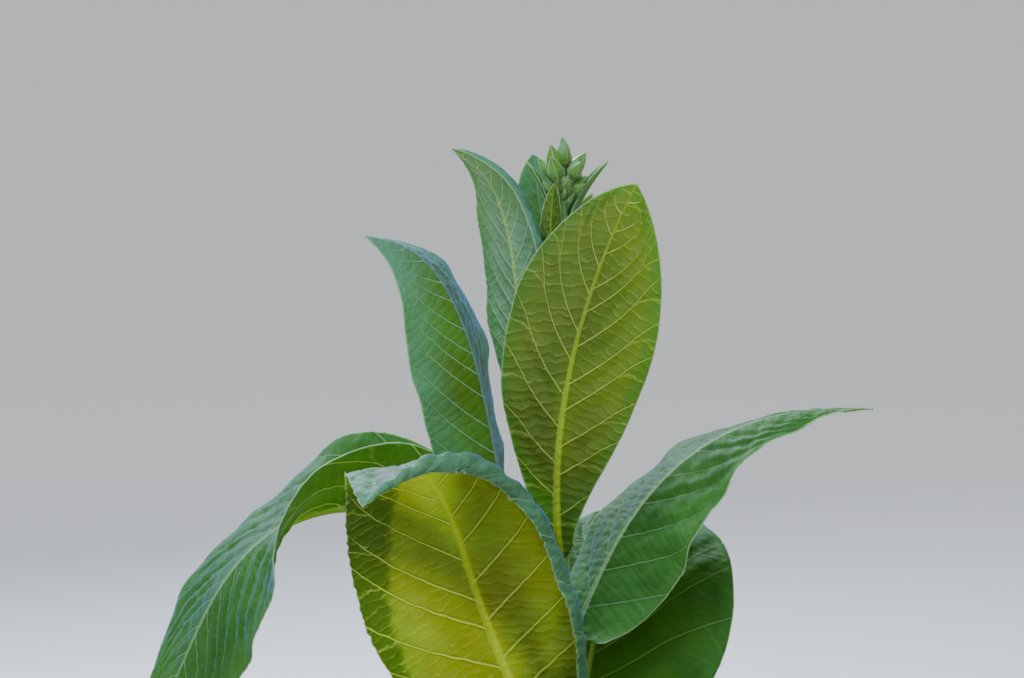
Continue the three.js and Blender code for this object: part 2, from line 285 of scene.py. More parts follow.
def half_width(leaf, u):
    grow, close = leaf["grow"], leaf["close"]
    peak = grow / (grow + close)
    body = u**grow * np.clip(1 - u, 0, 1) ** close / (peak**grow * (1 - peak) ** close)
    half = leaf["width"] / 2
    ear = min(leaf["foot"] / half, EAR["share"]) * np.exp(-u / EAR["length"])
    return half * np.clip(body + ear, TIP_FLOOR, 1)


def half_section(leaf, u, share, side):
    fold = leaf["fold"][0 if side > 0 else 1]
    fold = fold + leaf["channel"] * (1 - ease((u - leaf["hold"]) / (leaf["level"] - leaf["hold"])))
    curl = leaf["curl_left"] if side > 0 else 0
    clasp = CLASP["angle"] * np.clip(1 - u / CLASP["length"], 0, 1) ** 2
    t = share[..., None] * (np.arange(SECTION_STEPS) + 0.5) / SECTION_STEPS
    past = np.clip((t - CURL_FROM) / (1 - CURL_FROM), 0, 1)
    slope = np.radians(fold[..., None] + (leaf["cup"] + clasp[..., None]) * t + curl * past)
    return share * np.cos(slope).mean(-1), share * np.sin(slope).mean(-1)


third = half_width(LEAVES["leaf_front_broad"], np.array(0.33))
print("half width of the front broad leaf at a third of its length, mm:", round(float(third)))

# %% [markdown]
# The side veins leave the midrib at about 60 degrees near the foot of the leaf and about 30 near its tip,
# and curve up towards the margin. Each row of the mesh runs along them, from one point of the midrib
# outwards. So a vein is a line of the mesh, and its ridge needs only a few rows beside it. A crinkled leaf
# gets closer rows between them too.

# %% Veins and rows
VEINS = dict(first=0.02, span=0.96, left=0.75, right=0.35, jitter=0.18, crowding=0.85)
VEIN_TILT = (0.6, 1.1)
VEIN_LOOP = 0.035
VEIN_ANGLE = 0.8
RIB_WIDTH = dict(least=0.2, rate=0.0018, power=1.3, upwards=0.9)
VEIN_WIDTH = dict(least=0.15, rate=0.0022, outwards=0.65, upwards=0.55)
ROW_OFFSETS = (0.0, 0.5, 1.1, 2.0, 3.6)
RIB_COLUMNS = (0.35, 0.7, 1.0, 1.35, 2.0)
ROWS_AT_ENDS = (0.0, 0.012, 0.024, 0.985, 0.993, 1.0)
ROW_PITCH = dict(crinkled=1.5, plain=4.5, least=0.35)


def vein_roots(leaf, side):
    count = leaf["veins"]
    places = (np.arange(count) + (VEINS["left"] if side > 0 else VEINS["right"])) / count
    jitter = np.array([vary(leaf["seed"] + 3 * side, 11 + k) for k in range(count)])
    places = np.abs(places + VEINS["jitter"] * jitter / count)
    return VEINS["first"] + VEINS["span"] * places ** VEINS["crowding"]


def rib_half(leaf, u):
    size = RIB_WIDTH["rate"] * leaf["length"] ** RIB_WIDTH["power"]
    return RIB_WIDTH["least"] + size * (1 - RIB_WIDTH["upwards"] * u)


def vein_half(leaf, u, share):
    size = VEIN_WIDTH["rate"] * leaf["length"] * (1 - VEIN_WIDTH["outwards"] * share)
    return VEIN_WIDTH["least"] + size * (1 - VEIN_WIDTH["upwards"] * u)


def row_shares(leaf, fine):
    pitch = ROW_PITCH["crinkled"] if leaf["crinkle"] > 0.5 else ROW_PITCH["plain"]
    rows = list(ROWS_AT_ENDS) + list(np.linspace(0, 1, int(leaf["length"] / pitch)))
    step = vein_half(leaf, 0.4, 0.3) / leaf["length"] / VEIN_ANGLE
    for side in (1, -1):
        for root in vein_roots(leaf, side):
            for offset in ROW_OFFSETS[:fine]:
                rows += [root + offset * step, root - offset * step]
    rows = np.unique(np.clip(rows, 0, 1))
    kept = [rows[0]]
    for row in rows[1:]:
        if row - kept[-1] > ROW_PITCH["least"] / leaf["length"]:
            kept.append(row)
    kept[-1] = 1.0
    return np.array(kept)


def swept(leaf, rows, shares):
    tilt = VEIN_TILT[0] + VEIN_TILT[1] * rows
    tilt = tilt * (1 - leaf["arch"] / 2 + leaf["arch"] * shares)
    rise = leaf["sweep"] * tilt * shares * half_width(leaf, rows) / leaf["length"]
    u = rows + (rise + VEIN_LOOP * shares**4 * np.sin(np.pi * rows) ** 0.5) * (1 - rows**6)
    steps = np.maximum(np.diff(u, axis=0), 0.2 * np.diff(rows, axis=0))
    u = np.concatenate([u[:1], u[:1] + np.cumsum(steps, axis=0)])
    return u / u[-1:]


rows = row_shares(LEAVES["leaf_front_broad"], len(ROW_OFFSETS))
print("rows on the front broad leaf:", len(rows))

# %% [markdown]
# A living blade isn't smooth. Between the side veins it bulges up, the veins lie in the troughs and stand
# out as ridges below, and the margin, which grows longer than the middle, ruffles. All of this is a height
# above the smooth surface. Waves of a few lengths in turned directions make the uneven part of it. The very
# edge also waves within the surface, as a frill. All wave lengths are in millimetres.

# %% Relief of the blade
QUILT = dict(height=0.019, from_vein=5.5, from_rib=8)
PUCKER = dict(height=0.009, wave=12)
RUFFLE = dict(wave=71, short_wave=33, short_share=0.35)
CRINKLE = dict(height=2.5, wave=7)
FRILL = dict(height=0.5, wave=7.3, short_wave=4.9, swell=43)
RIPPLES = 5


def ripple(x, y, wavelength, seed):
    total = np.zeros_like(x)
    for k in range(RIPPLES):
        angle = math.pi * (k / RIPPLES + 0.1 * vary(seed, k))
        scale = 2 * math.pi / (wavelength * (1 + 0.3 * vary(seed, k + 7)))
        total += np.sin((x * math.cos(angle) + y * math.sin(angle)) * scale + 9 * vary(seed, k + 13))
    return total / RIPPLES


def blade_relief(leaf, u, x, share, vein_gap, side):
    seed = leaf["seed"]
    along = u * leaf["length"]
    inner = np.sin(np.pi * np.clip(share, 0, 1)) ** 0.6
    middle = np.sin(np.pi * np.clip(u, 0, 1)) ** 0.5
    quilt = leaf["quilt"] * QUILT["height"] * leaf["width"]
    quilt = quilt * (1 - bell(vein_gap, QUILT["from_vein"])) * inner
    quilt *= 1 - bell(x, QUILT["from_rib"])
    pucker = PUCKER["height"] * leaf["width"] * ripple(side * x, along, PUCKER["wave"], seed) * inner
    wave = np.sin(2 * np.pi * along / RUFFLE["wave"] + 5 * vary(seed, 3 + side))
    short_wave = np.sin(2 * np.pi * along / RUFFLE["short_wave"] + 5 * vary(seed, 5 + side))
    ruffle = leaf["ruffle"] * share**3 * middle * (wave + RUFFLE["short_share"] * short_wave)
    crinkle = CRINKLE["height"] * leaf["crinkle"] * share**8 * middle
    return quilt + pucker + ruffle + crinkle * ripple(side * x, along, CRINKLE["wave"], seed + 5)


def frill(leaf, u, share, side):
    along = 2 * np.pi * u * leaf["length"]
    phase = 5 * vary(leaf["seed"], 9 + side)
    swell = 0.6 + 0.4 * np.sin(along / FRILL["swell"] + phase)
    wave = np.sin(along / FRILL["wave"] + phase) + 0.5 * np.sin(along / FRILL["short_wave"] - phase)
    return FRILL["height"] * leaf["crinkle"] * share**6 * swell * wave


print("frill of the front broad leaf, mm:", 1.5 * FRILL["height"] * LEAVES["leaf_front_broad"]["crinkle"])

# %% [markdown]
# The grid of a leaf is built in two halves that share the midrib. The columns beside the rib keep a fixed
# distance in rib widths, and the rest share what is left. The first row is doubled and moved into the stem,
# so that the foot of the leaf has no gap. Each point also keeps what the materials need: its distance from
# the rib and from the nearest side vein in their own half widths, its distance from the margin, and its
# place in the net of veins. The net is cut anew on the left half, far from the numbers of the right half.

# %% Grid of one leaf
CLOSE = dict(columns=22, fine=5)
DISTANT = dict(columns=14, fine=4)
RIB_RIDGE = dict(height=1.15, sharpness=1.2)
RIB_GROOVE = dict(height=0.4, sharpness=1.5)
VEIN_RIDGE = dict(height=1.3, fade=2.2)
RIDGE_ROOT = dict(reach=26, share=0.1)
RUNG_SLANT = 0.33
LEFT_NET = dict(strip=40, rungs=1000)
FOOT_DEPTH = 0.8


def leaf_grid(leaf, columns, fine):
    row = np.concatenate([[0.0], row_shares(leaf, fine)])[:, None]
    halves = []
    for side in (-1, 1):
        share = np.linspace(0, 1, columns + 1)[None, 1:]
        width_here = half_width(leaf, row)
        inner = np.minimum(RIB_COLUMNS[-1] * rib_half(leaf, row), 0.5 * width_here)
        near = inner * np.array((0.0,) + RIB_COLUMNS)[None, :] / RIB_COLUMNS[-1]
        far = inner + (width_here - inner) * share
        shares = np.concatenate([near, far], axis=1) / width_here
        u = swept(leaf, row, shares)
        width = half_width(leaf, u) + frill(leaf, u, shares, side)
        x = shares * width
        along, across, face = blade_frame(leaf, u)
        out, up = half_section(leaf, u, shares, side)
        points = rib_points(leaf, u) + (side * width * out)[..., None] * across
        points += (width * up)[..., None] * face
        roots = vein_roots(leaf, side)
        gap = np.abs(row[..., None] - roots).min(-1) * leaf["length"] * VEIN_ANGLE + 0 * x
        strip = np.interp(row, np.concatenate([[0], roots, [1]]), np.arange(len(roots) + 2) - 1) + 0 * x
        vein, rib = vein_half(leaf, u, shares), rib_half(leaf, u)
        relief = blade_relief(leaf, u, x, shares, gap, side)
        fade = np.clip(VEIN_RIDGE["fade"] - VEIN_RIDGE["fade"] * shares, 0, 1)
        ridge = VEIN_RIDGE["height"] * vein * bell(gap, vein) * fade
        rib_ridge = RIB_RIDGE["height"] * rib * np.exp(-RIB_RIDGE["sharpness"] * (x / rib) ** 2)
        root = ease(u * leaf["length"] / RIDGE_ROOT["reach"])
        ridge = np.maximum(ridge, rib_ridge) * (RIDGE_ROOT["share"] + (1 - RIDGE_ROOT["share"]) * root)
        groove = RIB_GROOVE["height"] * rib * np.exp(-RIB_GROOVE["sharpness"] * (x / rib) ** 2)
        blade = np.stack([x / rib, gap / vein, (1 - shares) * width], axis=-1)
        rungs = u * leaf["length"] + RUNG_SLANT * x + LEFT_NET["rungs"] * (side > 0)
        net = np.stack([strip + LEFT_NET["strip"] * (side > 0), rungs, u], axis=-1)
        halves.append([points, relief, ridge, groove, blade, net])
    joined = [np.concatenate([right[:, :0:-1], left], axis=1) for right, left in zip(*halves)]
    joined[0][0] -= FOOT_DEPTH * stem_radius(leaf["z"]) * outward(leaf["azimuth"])
    return joined


def grid_normals(points):
    along = np.gradient(points, axis=0)
    across = np.gradient(points, axis=1)
    along[0] = along[1]
    normals = np.cross(along, across)
    length = np.linalg.norm(normals, axis=-1, keepdims=True)
    return normals / np.maximum(length, 1e-9)


grid = leaf_grid(LEAVES["leaf_front_broad"], **CLOSE)
print("grid of the front broad leaf:", grid[0].shape[:2])

# %% [markdown]
# The two faces of the blade are the grid moved up and down by half its thickness, and a rim closes them. The
# upper and the lower face get different finishes, so each face of the mesh is told which one it belongs to.

# %% Mesh of one leaf
THICKNESS = 0.5


def mesh_from(name, points, faces, attributes=None):
    mesh = bpy.data.meshes.new(name)
    mesh.from_pydata((points.reshape(-1, 3) * MM).tolist(), [], faces)
    mesh.polygons.foreach_set("use_smooth", np.ones(len(mesh.polygons), bool))
    for label, values in (attributes or {}).items():
        attribute = mesh.attributes.new(label, "FLOAT_VECTOR", "POINT")
        attribute.data.foreach_set("vector", values.astype(np.float32).reshape(-1))
    return mesh


def sheet_faces(rows, columns, offset, flip):
    first = offset + np.arange(rows - 1)[:, None] * columns + np.arange(columns - 1)[None, :]
    first = first.reshape(-1)
    corners = [first, first + columns, first + columns + 1, first + 1]
    if flip:
        corners = [corners[0], corners[3], corners[2], corners[1]]
    return np.stack(corners, axis=-1)


def rim_faces(rows, columns):
    index = np.arange(rows * columns).reshape(rows, columns)
    loop = np.concatenate([index[:-1, 0], index[-1, :-1], index[:0:-1, -1], index[0, :0:-1]])
    following = np.roll(loop, -1)
    under = rows * columns
    return np.stack([loop, loop + under, following + under, following], axis=-1)


def leaf_mesh(name, leaf, columns, fine):
    points, relief, ridge, groove, blade, net = leaf_grid(leaf, columns, fine)
    normals = grid_normals(points)
    surface = points + relief[..., None] * normals
    top = surface + (THICKNESS / 2 - groove)[..., None] * normals
    under = surface - (THICKNESS / 2 + groove + ridge)[..., None] * normals
    rows, cols = relief.shape
    faces = [sheet_faces(rows, cols, 0, False), sheet_faces(rows, cols, rows * cols, True)]
    faces.append(rim_faces(rows, cols))
    both = {"blade": np.stack([blade, blade]), "net": np.stack([net, net])}
    mesh = mesh_from(name, np.stack([top, under]), np.concatenate(faces).tolist(), both)
    slots = np.ones(len(mesh.polygons), np.int32)
    slots[: len(faces[0])] = 0
    mesh.polygons.foreach_set("material_index", slots)
    mesh.validate()
    return mesh


print("faces of the front broad leaf:", 2 * (grid[0].shape[0] - 1) * (grid[0].shape[1] - 1))

# %% [markdown]
# Materials are node trees. One small function adds a node with its settings and inputs. An input is a
# number, an output, or a node, which stands for its first output. A kind without the word Node is a shader
# node. A new material comes with this function for its own tree. An sRGB hex value is turned into linear
# numbers.

# %% Material helpers
TIMES = {"operation": "MULTIPLY"}
SMOOTH = {"interpolation_type": "SMOOTHSTEP"}
TIMES_PLUS = {"operation": "MULTIPLY_ADD"}
COLOURS = {"data_type": "RGBA"}


def linear(hex_colour):
    values = [int(hex_colour[i:i + 2], 16) / 255 for i in (1, 3, 5)]
    values = [v / 12.92 if v <= 0.04045 else ((v + 0.055) / 1.055) ** 2.4 for v in values]
    return (*values, 1.0)


def add_node(tree, kind, settings=None, inputs=None):
    node = tree.nodes.new(kind if "Node" in kind else "ShaderNode" + kind)
    for key, value in (settings or {}).items():
        setattr(node, key, value)
    for key, value in (inputs or {}).items():
        if isinstance(value, bpy.types.Node):
            value = value.outputs[0]
        if isinstance(value, bpy.types.NodeSocket):
            tree.links.new(value, node.inputs[key])
        else:
            node.inputs[key].default_value = value
    return node


def new_material(name):
    material = bpy.data.materials.new(name)
    material.use_nodes = True
    material.node_tree.nodes.clear()
    return material, partial(add_node, material.node_tree)


print("the green #407226 in linear numbers:", [round(part, 3) for part in linear("#407226")])

# %% [markdown]
# A tobacco leaf is darker and bluer above, where short hairs catch the sky, and paler and yellower below,
# where the ribs stand out. Light that falls on one face glows through the other in a strong yellow green. A
# photographed texture would fit one leaf only, so all faces are drawn from one map of the blade: the midrib,
# the side veins with strips of painted shade beside them, the green margin, which on the front broad leaf is
# a wide band of painted shade, the foot of the leaf, painted darker as shade, and the finer veins. These cross
# from one side vein to the next like the rungs of a ladder, 6.5 mm apart. A one-dimensional Voronoi pattern
# along the leaf gives them, cut anew between each two veins. Near the margin each side vein forks, and a much
# fainter net with 2.2 mm meshes fills the rest. One slow noise, wander, keeps all these lines from being
# straight. Each line or area is a mask that rises from 0 to 1 as its distance goes from none to full.

# %% Leaf map
# In millimetres, as on a living leaf. The real finest meshes are 0.5 mm, too fine to show at this distance.
RUNG_PITCH = 6.5
MESH_PITCH = 2.2
CLOUD_SIZE = 500 / 11
WANDER = dict(size=25 / 3, rungs=9.0, mesh=4.0, margin=14.0, fork=0.2)
STRIP_SHIFT = 7.31
FORK = dict(reach=17, lowest=0.35, highest=0.9)
MARGIN = dict(start=7, taper=0.3)


def leaf_masks(add, margin):
    blade = add("Attribute", {"attribute_name": "blade"})
    net = add("Attribute", {"attribute_name": "net"})
    near = add("SeparateXYZ", inputs={0: blade.outputs["Vector"]}).outputs
    place = add("SeparateXYZ", inputs={0: net.outputs["Vector"]}).outputs
    flat = add("CombineXYZ", inputs={"X": place["Y"], "Y": near["Z"]})
    wander = add("TexNoise", inputs={"Vector": flat, "Scale": 1 / WANDER["size"], "Detail": 3.0}).outputs
    bent = add("Math", TIMES_PLUS, {0: wander[0], 1: WANDER["rungs"], 2: place["Y"]})
    step = add("Math", {"operation": "DIVIDE"}, {0: bent, 1: RUNG_PITCH})
    strip = add("Math", {"operation": "FLOOR"}, {0: place["X"]})
    ladder = add("Math", TIMES_PLUS, {0: strip, 1: STRIP_SHIFT, 2: step})
    rungs = add("TexVoronoi", {"voronoi_dimensions": "1D", "feature": "DISTANCE_TO_EDGE"},
                {"W": ladder, "Scale": 1.0, "Randomness": 0.85}).outputs["Distance"]
    shift = add("VectorMath", TIMES_PLUS,
                {0: wander["Color"], 1: (WANDER["mesh"], WANDER["mesh"], 0), 2: flat})
    cells = add("TexVoronoi", {"voronoi_dimensions": "2D", "feature": "DISTANCE_TO_EDGE"},
                {"Vector": shift, "Scale": 1 / MESH_PITCH, "Randomness": 0.9}).outputs["Distance"]
    between = add("Math", {"operation": "FRACT"}, {0: place["X"]})
    branch = add("MapRange", {"clamp": False},
                 {0: near["Z"], 2: FORK["reach"], 3: FORK["lowest"], 4: FORK["highest"]})
    crooked = add("Math", TIMES_PLUS, {0: wander[0], 1: WANDER["fork"], 2: branch})
    off = add("Math", {"operation": "SUBTRACT"}, {0: between, 1: crooked})
    fork = add("Math", {"operation": "ABSOLUTE"}, {0: off})
    full, none, widening = margin
    # The inner edge of the margin band wanders; on the front broad leaf this band is painted shade.
    inward = add("Math", TIMES_PLUS, {0: wander[0], 1: WANDER["margin"], 2: near["Z"]})
    tapered = add("Math", TIMES_PLUS, {0: place["Z"], 1: -widening, 2: inward})
    first = MARGIN["start"] - MARGIN["taper"] * widening
    ramps = (
        # The strips beside the side veins are painted shade.
        ("rib", near["X"], 1.15, 0.75), ("vein", near["Y"], 1.35, 0.6), ("painted_vein_shade", near["Y"], 3.6, 1.3),
        # The foot of the leaf is painted darker, as shade.
        ("rim", near["Z"], 1.0, 0.25), ("foot", place["Z"], 0.27, 0.13), ("fork", fork, 0.035, 0.007),
        ("margin", tapered, first + none, first + full), ("mesh", cells, 0.1, 0.02),
        ("rungs", rungs, 0.07, 0.015), ("dome", rungs, 0.0, 0.45),
    )
    masks = {}
    for label, distance, none, full in ramps:
        masks[label] = add("MapRange", SMOOTH, {0: distance, 1: none, 2: full})
    # The rungs are fainter here and there, and the midrib fades towards the tip.
    fainter = (("rungs", wander[0], 0.42, 0.58, 0.3, 1.0), ("rib", place["Z"], 0.25, 0.95, 1.0, 0.45))
    for label, source, start, stop, at_start, at_stop in fainter:
        share = add("MapRange", inputs={0: source, 1: start, 2: stop, 3: at_start, 4: at_stop})
        masks[label] = add("Math", TIMES, {0: masks[label], 1: share})
    return masks


print("finest mesh of veins, mm:", MESH_PITCH, "and rungs, mm:", RUNG_PITCH)

# %% [markdown]
# A finish paints the masks over the blade one after another, once in the colours of its surface and once in
# those of the light that comes through. rungs, mesh and strong say how much its veins stand out, margin how
# far its green margin reaches in millimetres, and through how much light passes. The domes between the rungs
# are a fine relief, and hollows when the lower face is seen. Each row of tones is in the order of TONES.

# %% Leaf finishes
def leaf_material(name, look):
    material, add = new_material(name)
    masks = leaf_masks(add, look["margin"])
    place = add("TexCoord").outputs["Object"]
    clouds = add("TexNoise",
                 inputs={"Vector": place, "Scale": 1 / (CLOUD_SIZE * MM), "Detail": 5.0, "Roughness": 0.6})
    patch = add("MapRange", inputs={0: clouds, 1: 0.35, 2: 0.65})
    # Painted shade: the foot of the leaf, in the edge tone, and the strips beside the side veins.
    layers = (("foot", "edge", 0.75), ("margin", "edge", 0.7), ("painted_vein_shade", "painted_vein_shade", 0.6),
              ("mesh", "vein", look["mesh"]), ("rungs", "vein", look["rungs"]),
              ("fork", "vein", look["rungs"]), ("vein", "vein", look["strong"]),
              ("rib", "rib", 1.0), ("rim", "rim", 0.8))
    tones = {}
    for side in ("surface", "glow"):
        tone = dict(zip(TONES, map(linear, look[side].split())))
        colour = add("Mix", COLOURS, {0: patch, 6: tone["blade"], 7: tone["patch"]}).outputs[2]
        for label, tint, strength in layers:
            share = add("Math", TIMES, {0: masks[label], 1: strength})
            colour = add("Mix", COLOURS, {0: share, 6: colour, 7: tone[tint]}).outputs[2]
        tones[side] = colour
    bump = add("Bump", {"invert": look["hollow"]},
               {"Strength": 0.8, "Distance": look["relief"] * MM, "Height": masks["dome"]})
    shader = add("BsdfPrincipled", inputs={
        "Base Color": tones["surface"], "Roughness": look["roughness"], "Normal": bump,
        "Specular IOR Level": 0.12, "Sheen Weight": look["sheen"], "Sheen Roughness": 0.3,
        "Sheen Tint": linear("#7f96ff"),
    })
    glow = add("BsdfTranslucent", inputs={"Color": tones["glow"], "Normal": bump})
    both = add("MixShader", inputs={0: look["through"], 1: shader, 2: glow})
    add("OutputMaterial", inputs={0: both})
    return material


# The third tone of each row is the painted shade beside the side veins.
TONES = ("blade", "patch", "painted_vein_shade", "edge", "vein", "rib", "rim")
USUAL = dict(mesh=0.08, margin=(1, 13, 0), strong=0.9, hollow=True, roughness=0.55)
RIPE_GLOW = "#b4c81c #9cb814 #84a010 #80b420 #ecf050 #e4f03c #e2eeb0"
# Its dark fourth tone is painted shade, in the margin band of the front broad leaf.
SUNLIT_GLOW = "#fcfc58 #f4dc30 #a4b810 #4c7c10 #fcfc60 #f4fc48 #e2eeb0"
GREEN_GLOW = "#8cbc28 #74a81c #64961c #70ac2c #c0dc60 #cce05c #e0ecb0"
LOOKS = {
    # Living leaf, upper face: a matt dark green whose short hairs turn a little blue where they catch light.
    "upper": dict(
        surface="#407226 #2f5c1c #29561e #4a7c2e #719a58 #8fae72 #a0bb80", glow=RIPE_GLOW,
        mesh=0.05, rungs=0.14, strong=0.7, hollow=False, relief=0.3, roughness=0.65, sheen=0.4, through=0.38,
    ),
    # The same face with the sky's blue reflection painted in: bluish at the margin and midrib, olive beside
    # it.
    "sky_sheen_upper": dict(
        surface="#487830 #5c6216 #406c38 #62996e #8cb08c #7494b4 #a0bb80", glow=RIPE_GLOW,
        mesh=0.05, margin=(4, 34, 0), rungs=0.2, strong=0.7, hollow=False, relief=0.3, roughness=0.6,
        sheen=0.6, through=0.38,
    ),
    # Lower face of a ripening leaf: olive that glows yellow when lit from behind, with strong pale veins.
    "ripe_lower": dict(
        surface="#78842e #667428 #4c5c1c #56822e #b8c458 #bccc3c #b4cc88", glow=RIPE_GLOW,
        mesh=0.1, rungs=0.5, strong=1.0, relief=0.6, sheen=0.15, through=0.52,
    ),
    # A lit copy of the ripe face, for the front broad leaf: brighter, with more light coming through it. Its
    # wide, crooked green band at the margin is painted shade, the shadow that falls on that part of the leaf.
    "sunlit_lower": dict(
        surface="#8c9c3c #84842c #5c6c1c #3c6a24 #dce070 #ccd848 #b4cc88", glow=SUNLIT_GLOW,
        margin=(8, 15, 60), rungs=0.55, strong=1.0, relief=0.8, sheen=0.1, through=0.66,
    ),
    # Lower face of a full grown green leaf: a plain mid green, duller than the ripe one. This is partly
    # painted
    # shade: it is the shaded copy of the ripe face, for leaves that lie in shade.
    "shaded_green_lower": dict(
        surface="#537f34 #466e2c #3c6424 #4c7c34 #94b264 #a0bc54 #b4cc90", glow=GREEN_GLOW,
        rungs=0.3, relief=0.15, sheen=0.2, through=0.35,
    ),
    # Lower face of the young upper leaves: its pale greyish green is a painted reflection of the sky, and its
    # surface is softer.
    "sky_grey_lower": dict(
        surface="#70946a #628450 #587c4c #518434 #a8c080 #a6c058 #bccf8e", glow=GREEN_GLOW,
        rungs=0.3, relief=0.5, roughness=0.5, sheen=0.35, through=0.3,
    ),
}
MATERIALS = {name: leaf_material(f"leaf_{name}_face", {**USUAL, **look}) for name, look in LOOKS.items()}
print("leaf finishes:", list(MATERIALS))

# %% [markdown]
# Each leaf replaces its solid. The leaves that the camera is close to get more columns, and more rows beside
# each vein.

# %% Make the leaves
def new_object(name, data):
    made = bpy.data.objects.new(name, data)
    bpy.context.scene.collection.objects.link(made)
    return made


def add_piece(name, mesh, materials, nodes):
    piece = new_object(name, mesh)
    for material in materials:
        mesh.materials.append(material)
    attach(piece, "root")
    if nodes:
        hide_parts(*nodes)
    return piece


triangles = 0
for name, leaf in LEAVES.items():
    lower = name.startswith("leaf_lower")
    mesh = leaf_mesh(name + "_blade", leaf, **(DISTANT if lower else CLOSE))
    triangles += 2 * len(mesh.polygons)
    faces = [MATERIALS[leaf["over"]], MATERIALS[leaf["under"]]]
    add_piece(name + "_blade", mesh, faces, [name])
print("leaf triangles:", triangles)

# %% [markdown]
# The stem is a lathe shape that isn't quite round. Under each leaf its midrib runs on down the stem as a low
# ridge, and the stem swells a little where the leaf leaves it. Near the ground the oldest leaves have fallen
# and left crescent scars. A ring of points at each height, moved outwards by these bumps, gives all of it.

# %% The stem
STEM_SIDES = 56
STEM_RINGS = 420
# The height of each set of flutes, how many there are round the stem, and how slowly they wind up it.
FLUTES = ((0.25, 5, 90), (0.12, 11, -40))
RIDGE = dict(height=1.7, spread=0.42, below=60, above=5, full_length=250)
# The height and the side of each scar.
SCARS = ((70, 20), (52, 158), (36, 295), (24, 72))
SCAR = dict(sag=3, spread=0.75, lip=1.3, lip_width=2.2, dent=0.9, dent_width=1.2, dent_above=2.5)
TOP_FADE = dict(reach=60, least=0.15)


def turn_from(angle, side):
    return np.angle(np.exp(1j * (angle - math.radians(side))))


def stem_bumps(angle, z):
    bumps = sum(height * np.cos(count * angle + z / wind) for height, count, wind in FLUTES)
    for leaf in LEAVES.values():
        turn = turn_from(angle, leaf["azimuth"])
        drop = z - leaf["z"]
        fade = np.where(drop < 0, np.exp(drop / RIDGE["below"]), bell(drop, RIDGE["above"]))
        strength = min(1, leaf["length"] / RIDGE["full_length"])
        bumps = bumps + strength * RIDGE["height"] * fade * bell(turn, RIDGE["spread"])
    for height, side in SCARS:
        turn = turn_from(angle, side)
        arc = z - height - SCAR["sag"] * turn**2
        lip = SCAR["lip"] * bell(arc, SCAR["lip_width"])
        dent = SCAR["dent"] * bell(arc - SCAR["dent_above"], SCAR["dent_width"])
        bumps = bumps + np.exp(-((turn / SCAR["spread"]) ** 4)) * (lip - dent)
    return bumps


def tube_faces(rings, sides):
    ring = np.arange(rings - 1)[:, None] * sides
    k = np.arange(sides)[None, :]
    following = (k + 1) % sides
    walls = np.stack([ring + k, ring + following, ring + sides + following, ring + sides + k], axis=-1)
    caps = [list(range(sides))[::-1], list(range((rings - 1) * sides, rings * sides))]
    return walls.reshape(-1, 4).tolist() + caps


z = np.linspace(0, STEM_TOP, STEM_RINGS)[:, None]
angle = np.linspace(0, 2 * np.pi, STEM_SIDES, endpoint=False)[None, :]
fade_out = np.clip((STEM_TOP - z) / TOP_FADE["reach"], TOP_FADE["least"], 1)
radius = stem_radius(z) + stem_bumps(angle, z) * fade_out
stem_points = stem_centre(z + 0 * angle)
stem_points[..., 0] += radius * np.cos(angle)
stem_points[..., 1] += radius * np.sin(angle)
stem_mesh = mesh_from("stem_skin", stem_points, tube_faces(STEM_RINGS, STEM_SIDES))
print("stem points:", len(stem_mesh.vertices))

# %% [markdown]
# The finish of the stem: a fresh green skin with fine lengthwise streaks, covered with short sticky hairs
# that give it a soft sheen. Towards the ground it turns brown and corky. The streaks are about 2.4 mm wide
# and 71 mm long, and the cork ends in blotches of about 29 mm.

# %% Stem material
STREAK = (50 / 21, 500 / 7)
BLOTCH = 500 / 17


def stem_material():
    material, add = new_material("hairy_green_stem")
    place = add("TexCoord").outputs["Object"]
    wide, tall = [1 / (size * MM) for size in STREAK]
    streak = add("VectorMath", TIMES, {0: place, 1: (wide, wide, tall)})
    lines = add("TexNoise", inputs={"Vector": streak, "Scale": 1.0, "Detail": 5.0})
    blotch = add("TexNoise", inputs={"Vector": place, "Scale": 1 / (BLOTCH * MM), "Detail": 4.0})
    height = add("SeparateXYZ", inputs={0: place})
    edge = add("Math", TIMES_PLUS, {0: blotch, 1: -0.13, 2: height.outputs["Z"]})
    corky = add("MapRange", SMOOTH, {0: edge, 1: 0.03, 2: -0.05})
    pale = add("MapRange", inputs={0: lines, 1: 0.4, 2: 0.7})
    green = add("Mix", COLOURS, {0: pale, 6: linear("#5f8c3a"), 7: linear("#93b25c")})
    skin = add("Mix", COLOURS, {0: corky, 6: green.outputs[2], 7: linear("#8d7d55")})
    bump = add("Bump", inputs={"Strength": 0.5, "Distance": 0.5 * MM, "Height": lines})
    shader = add("BsdfPrincipled", inputs={
        "Base Color": skin.outputs[2], "Roughness": 0.55, "Normal": bump,
        "Sheen Weight": 0.3, "Sheen Roughness": 0.4, "Subsurface Weight": 0.15, "Subsurface Scale": 2 * MM,
    })
    add("OutputMaterial", inputs={0: shader})
    return material


STEM_SKIN = stem_material()
STEM_PIECE = add_piece("stem_skin", stem_mesh, [STEM_SKIN], ["stem"])
print("stem finish:", STEM_SKIN.name, "with", len(STEM_SKIN.node_tree.nodes), "nodes")

# %% [markdown]
# A tobacco bud in this state is all calyx: five sepals that meet along pale keels and end in points. Its
# section is a circle that turns into a five-pointed star towards the tip. The buds stand on short stalks
# round the end of the stem, the oldest and largest in the middle. A row of the table gives each bud's side
# of the stem and distance from it, the height of its foot, its tilt outwards and its size.

